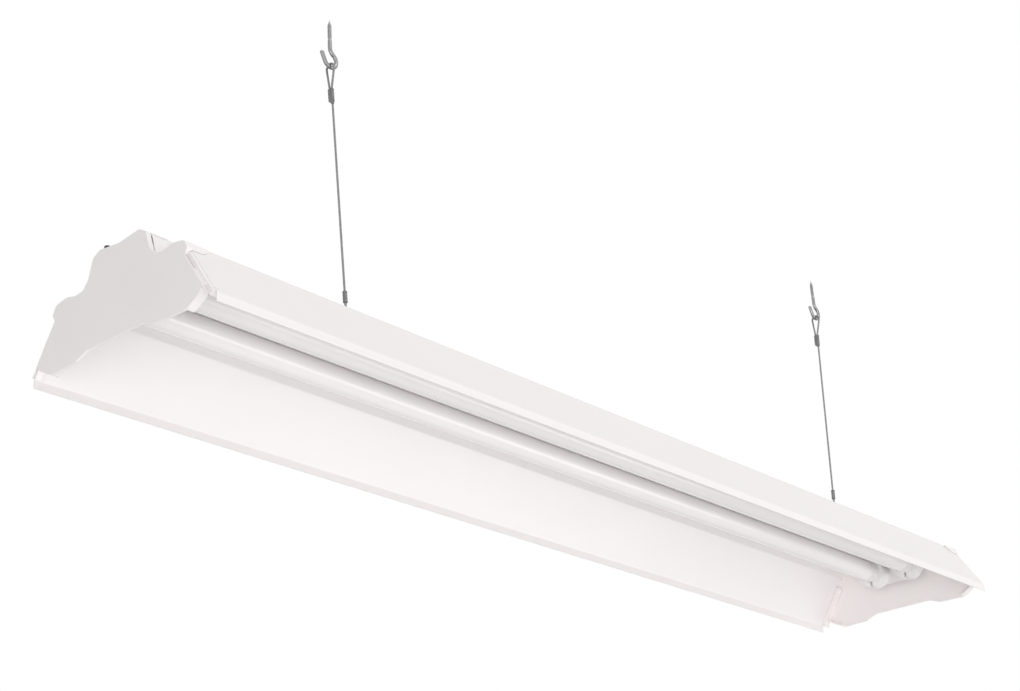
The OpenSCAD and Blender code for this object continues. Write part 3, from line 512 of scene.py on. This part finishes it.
def background(strength):
    node = sky.new("ShaderNodeBackground")
    node.inputs["Color"].default_value = (1, 1, 1, 1)
    node.inputs["Strength"].default_value = strength
    return node.outputs[0]


def larger(first, second):
    node = sky.new("ShaderNodeMath")
    node.operation = "MAXIMUM"
    sky_links.new(first, node.inputs[0])
    sky_links.new(second, node.inputs[1])
    return node.outputs[0]


rays = sky.new("ShaderNodeLightPath").outputs
seen = larger(larger(rays["Is Camera Ray"], rays["Is Glossy Ray"]), rays["Is Transmission Ray"])
mix = sky.new("ShaderNodeMixShader")
sky_links.new(seen, mix.inputs["Fac"])
sky_links.new(background(AMBIENT), mix.inputs[1])
sky_links.new(background(1.0), mix.inputs[2])
sky_links.new(mix.outputs[0], sky.new("ShaderNodeOutputWorld").inputs["Surface"])


# ---- lights --------------------------------------------------------------

LIGHT_TARGET = Vector((0, 0, -0.35))


def area(name, place, size, power):
    light = bpy.data.lights.new(name, "AREA")
    light.shape = "SQUARE"
    light.size = size
    light.energy = power
    o = bpy.data.objects.new(name, light)
    bpy.context.scene.collection.objects.link(o)
    o.location = place
    o.rotation_euler = (LIGHT_TARGET - Vector(place)).to_track_quat("-Z", "Y").to_euler()


area("front", (0.3, -2.6, -1.4), 2.2, 17)
area("left", (-4.4, -2.9, -2.6), 3.0, 112)
area("right", (2.6, -2.8, -1.6), 2.2, 28)
area("above", (0.0, -1.6, 2.6), 3.0, 38)
area("back", (0.6, 3.4, 0.5), 2.6, 45)


# ---- camera --------------------------------------------------------------

SENSOR_MM, PICTURE_W, FOCAL_PX = 36, 1020, 1919.999
# Place in millimetres from the fixture's lower middle, and directions in radians
CAMERA_AT = (-1521.118, -1161.897, -654.790)
AZIMUTH, ELEVATION, ROLL = 0.694264, 0.416997, -0.0594507

cam = bpy.data.cameras.new("camera")
cam.sensor_width = SENSOR_MM
cam.sensor_fit = "HORIZONTAL"
cam.lens = FOCAL_PX / PICTURE_W * SENSOR_MM
cam.clip_start = 0.01
cam.clip_end = 60
camera = bpy.data.objects.new("camera", cam)
bpy.context.scene.collection.objects.link(camera)
level = math.cos(ELEVATION)
ahead = Vector((level * math.cos(AZIMUTH), level * math.sin(AZIMUTH), math.sin(ELEVATION)))
right = ahead.cross(Vector((0, 0, 1))).normalized()
up = right.cross(ahead)
rolled_right = right * math.cos(ROLL) + up * math.sin(ROLL)
rolled_up = up * math.cos(ROLL) - right * math.sin(ROLL)
turn = Matrix((rolled_right, rolled_up, -ahead)).transposed().to_4x4()
place = Vector((CAMERA_AT[0] - SLOT_SHIFT, CAMERA_AT[1], CAMERA_AT[2] - CEILING)) * MM
camera.matrix_world = Matrix.Translation(place) @ turn
bpy.context.scene.camera = camera

bpy.context.scene.view_settings.view_transform = "Standard"
